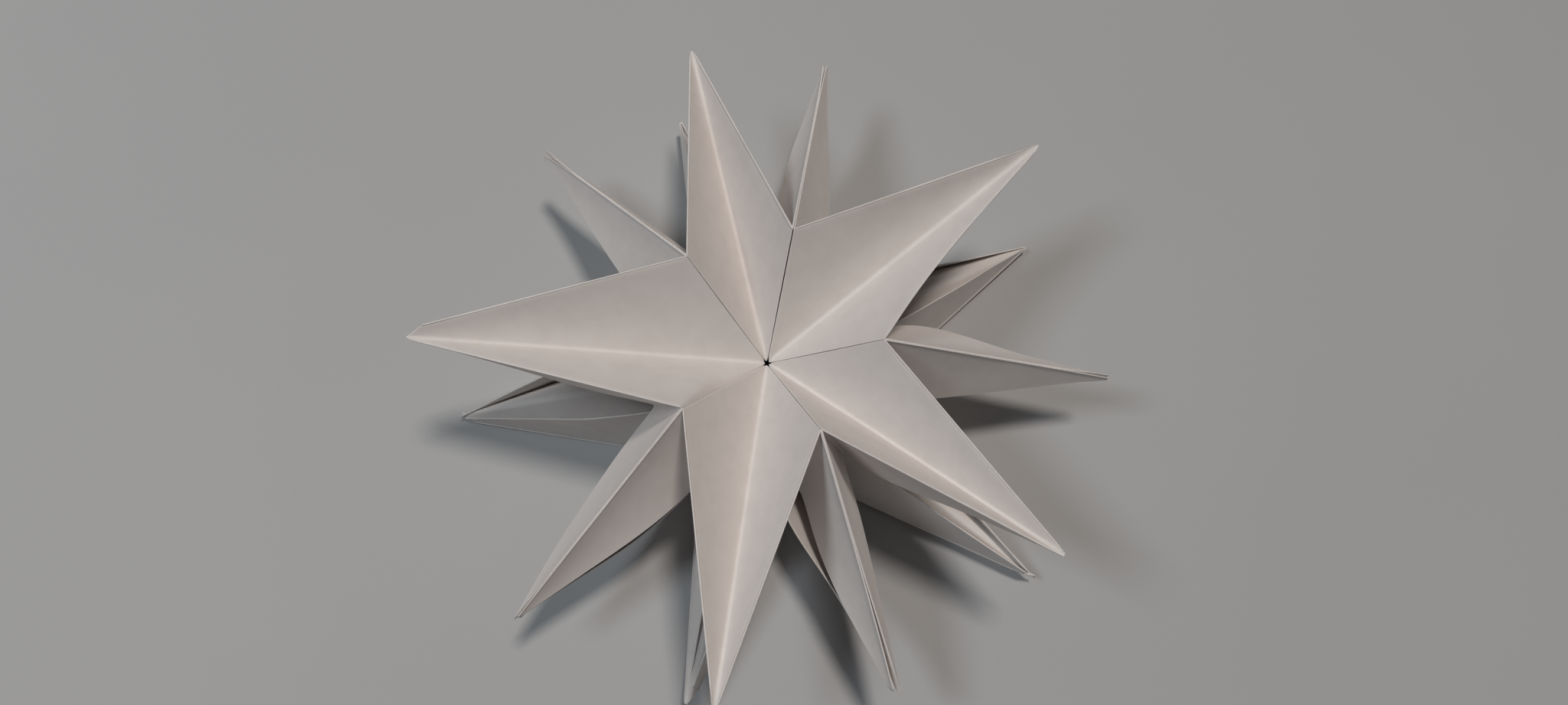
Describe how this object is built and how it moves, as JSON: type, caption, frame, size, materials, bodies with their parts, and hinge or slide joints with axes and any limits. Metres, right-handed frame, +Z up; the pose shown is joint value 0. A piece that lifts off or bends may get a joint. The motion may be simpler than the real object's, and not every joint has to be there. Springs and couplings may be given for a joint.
{
  "type": "folded paper star",
  "caption": "Standing star of folded white card with slim hollow points in an upper ring, a side ring and a lower ring, folded from square sheets glued back to back.",
  "frame": {"origin": "under the middle of the star's outline, on the surface that it stands on", "axes": "Z up through the star; the upper points lie at bearings of 38, 105, 182.5, 264 and 323.5 degrees from +X towards +Y"},
  "size_m": [0.1358, 0.1362, 0.0411],
  "materials": {
    "card": "smooth matt white card"
  },
  "bodies": {
    "root": {"folded_sheet_1": "card", "folded_sheet_2": "card", "folded_sheet_3": "card", "folded_sheet_4": "card", "folded_sheet_5": "card"}
  },
  "joints": []
}
